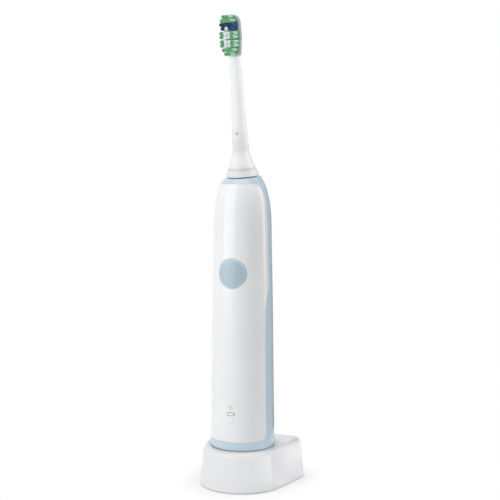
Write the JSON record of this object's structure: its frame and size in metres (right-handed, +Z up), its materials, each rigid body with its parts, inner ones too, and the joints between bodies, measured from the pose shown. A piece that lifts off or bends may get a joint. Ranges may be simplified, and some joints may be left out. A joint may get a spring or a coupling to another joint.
{
  "type": "electric toothbrush on charger",
  "caption": "Sonic electric toothbrush with a round tapered handle, leaning brush head and press button, standing on a small inductive charger.",
  "frame": {"origin": "on the table under the upright axis of the handle", "axes": "+Z up along the handle, -Y towards the front with button and bristles, +X to the right as seen from the front"},
  "size_m": [0.0572, 0.0583, 0.2581],
  "materials": {
    "white_gloss": "glossy moulded",
    "blue_gloss": "glossy moulded",
    "button_blue": "satin soft touch",
    "charger_white": "satin moulded",
    "neck_white": "glossy moulded",
    "plain_plastic": "as moulded",
    "black_plastic": "as moulded",
    "board_green": "solder mask",
    "rubber_grey": "matt",
    "steel": "ground",
    "nickel": "plain",
    "magnet": "nickel plated",
    "ferrite": "sintered",
    "core_steel": "laminated",
    "copper": "enamelled wire",
    "bronze": "sintered",
    "cell_wrap": "shrink wrap",
    "clear_window": "polished",
    "led": "diffused",
    "bristle_green": "nylon filament",
    "bristle_blue": "nylon filament",
    "bristle_clear": "nylon filament"
  },
  "bodies": {
    "charger": {"charger_housing": "charger_white", "charger_base_plate": "charger_white", "charger_feet": "rubber_grey", "charger_screws": "steel", "post_core": "ferrite", "primary_bobbin": "plain_plastic", "primary_coil": "copper", "charger_board": "board_green", "charger_capacitor": "black_plastic", "cord_gland": "charger_white"},
    "handle": {"front_shell": "white_gloss", "back_shell": "blue_gloss", "light_window": "clear_window", "end_cap": "blue_gloss", "end_cap_seal": "rubber_grey", "charging_coil": "copper", "chassis": "plain_plastic", "battery_cell": "cell_wrap", "battery_contacts": "nickel", "circuit_board": "board_green", "board_screws": "steel", "tact_switch": "black_plastic", "indicator_led": "led", "control_chip": "black_plastic", "motor_frame": "plain_plastic", "upper_bush": "bronze", "lower_bush": "bronze", "shaft_seal": "rubber_grey", "stator_core": "core_steel", "drive_coil": "copper"},
    "button": {"power_button": "button_blue"},
    "rotor": {"drive_shaft": "steel", "rotor_yoke": "core_steel", "rotor_magnets": "magnet"},
    "brush_head": {"brush_neck": "neck_white", "neck_collar": "neck_white", "shaft_clip": "plain_plastic", "tufts_green": "bristle_green", "tufts_blue": "bristle_blue", "tufts_clear": "bristle_clear"}
  },
  "joints": [
    {"name": "handle_lift", "type": "slide", "parent": "charger", "child": "handle", "axis": [0, 0, 1], "range_m": [0, 0.016]},
    {"name": "button_press", "type": "slide", "parent": "handle", "child": "button", "axis": [0, 1, 0], "range_m": [0, 0.0006], "stiffness_N_per_m": 800},
    {"name": "shaft_swing", "type": "hinge", "parent": "handle", "child": "rotor", "pos_m": [0, -0.0003, 0.172], "axis": [0, -0.165, 0.9863], "range_deg": [-6, 6], "stiffness_Nm_per_rad": 0.05},
    {"name": "brush_head_pull", "type": "slide", "parent": "rotor", "child": "brush_head", "axis": [0, -0.165, 0.9863], "range_m": [0, 0.03]}
  ]
}
